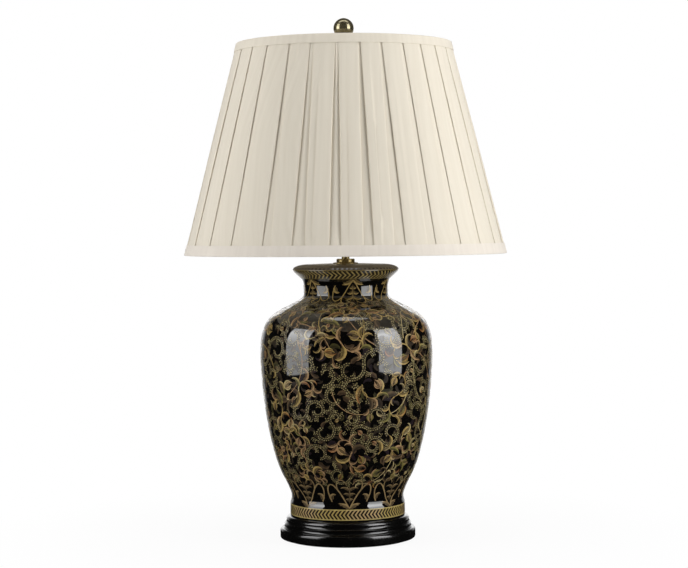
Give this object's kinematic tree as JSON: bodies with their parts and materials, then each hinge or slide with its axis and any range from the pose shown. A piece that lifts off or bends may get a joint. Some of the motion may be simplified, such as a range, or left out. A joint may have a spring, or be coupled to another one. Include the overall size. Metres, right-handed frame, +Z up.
{
  "type": "table lamp",
  "caption": "Table lamp: black-glazed porcelain jar with gilt scrollwork on a turned plinth, pleated cloth empire shade on a harp, ball finial.",
  "frame": {"origin": "on the table, under the lamp's axis, at the underside of the felt pad", "axes": "+Z up along the stem, -Y to the front, where the switch knob points; the harp lies in the XZ plane"},
  "size_m": [0.4069, 0.407, 0.6569],
  "materials": {
    "felt": "matt wool baize",
    "lacquer": "black gloss lacquer",
    "bushing": "matt",
    "cork": "cork",
    "porcelain": "black gloss glaze with gilt scrollwork",
    "stem_brass": "antique",
    "steel": "zinc plated",
    "harp_brass": "lacquered",
    "holder_brass": "polished",
    "liner": "fibre board",
    "moulding": "moulded",
    "screw_metal": "bright",
    "contacts": "bright",
    "knob": "gloss",
    "opal": "opal white",
    "vitrite": "gloss",
    "shade_cloth": "pleated off-white cloth",
    "shade_lining": "matt styrene",
    "ring_paint": "brass plated",
    "antique_brass": "antique, dark patina"
  },
  "bodies": {
    "stand": {"felt_pad": "felt", "plinth": "lacquer", "vase_cap": "lacquer", "cord_bushing": "bushing", "foot_gasket": "cork", "cap_gasket": "cork", "vase": "porcelain", "stem_tube": "stem_brass", "check_ring": "stem_brass", "neck_collar": "stem_brass", "saddle_nut": "stem_brass", "stem_washer": "steel", "stem_nut": "steel", "harp_saddle": "harp_brass", "harp_wire": "harp_brass", "harp_stud": "harp_brass", "socket_cap": "holder_brass", "socket_shell": "holder_brass", "socket_liner": "liner", "switch_body": "moulding", "screw_shell": "screw_metal", "centre_contact": "contacts", "terminal_screws": "contacts"},
    "shade": {"shade_cover": "shade_cloth", "shade_lining": "shade_lining", "shade_top_trim": "shade_cloth", "shade_bottom_trim": "shade_cloth", "shade_top_ring": "ring_paint", "shade_bottom_ring": "ring_paint", "shade_spider": "ring_paint"},
    "finial": {"finial": "antique_brass"},
    "bulb": {"bulb_globe": "opal", "bulb_cap": "screw_metal", "bulb_insulator": "vitrite", "bulb_contact": "contacts"},
    "switch": {"switch_shaft": "contacts", "switch_knob": "knob"},
    "sleeve_left": {"harp_sleeve_left": "harp_brass"},
    "sleeve_right": {"harp_sleeve_right": "harp_brass"}
  },
  "joints": [
    {"name": "shade_turn", "type": "hinge", "parent": "stand", "child": "shade", "pos_m": [0, 0, 0.6187], "axis": [0, 0, 1], "continuous": true},
    {"name": "finial_turn", "type": "hinge", "parent": "stand", "child": "finial", "pos_m": [0, 0, 0.633], "axis": [0, 0, 1], "continuous": true},
    {"name": "bulb_turn", "type": "hinge", "parent": "stand", "child": "bulb", "pos_m": [0, 0, 0.4185], "axis": [0, 0, 1], "continuous": true},
    {"name": "switch_turn", "type": "hinge", "parent": "stand", "child": "switch", "pos_m": [0, -0.02, 0.3932], "axis": [0, -1, 0], "continuous": true},
    {"name": "sleeve_left_slide", "type": "slide", "parent": "stand", "child": "sleeve_left", "axis": [0, 0, 1], "range_m": [0, 0.016]},
    {"name": "sleeve_right_slide", "type": "slide", "parent": "stand", "child": "sleeve_right", "axis": [0, 0, 1], "range_m": [0, 0.016]}
  ]
}
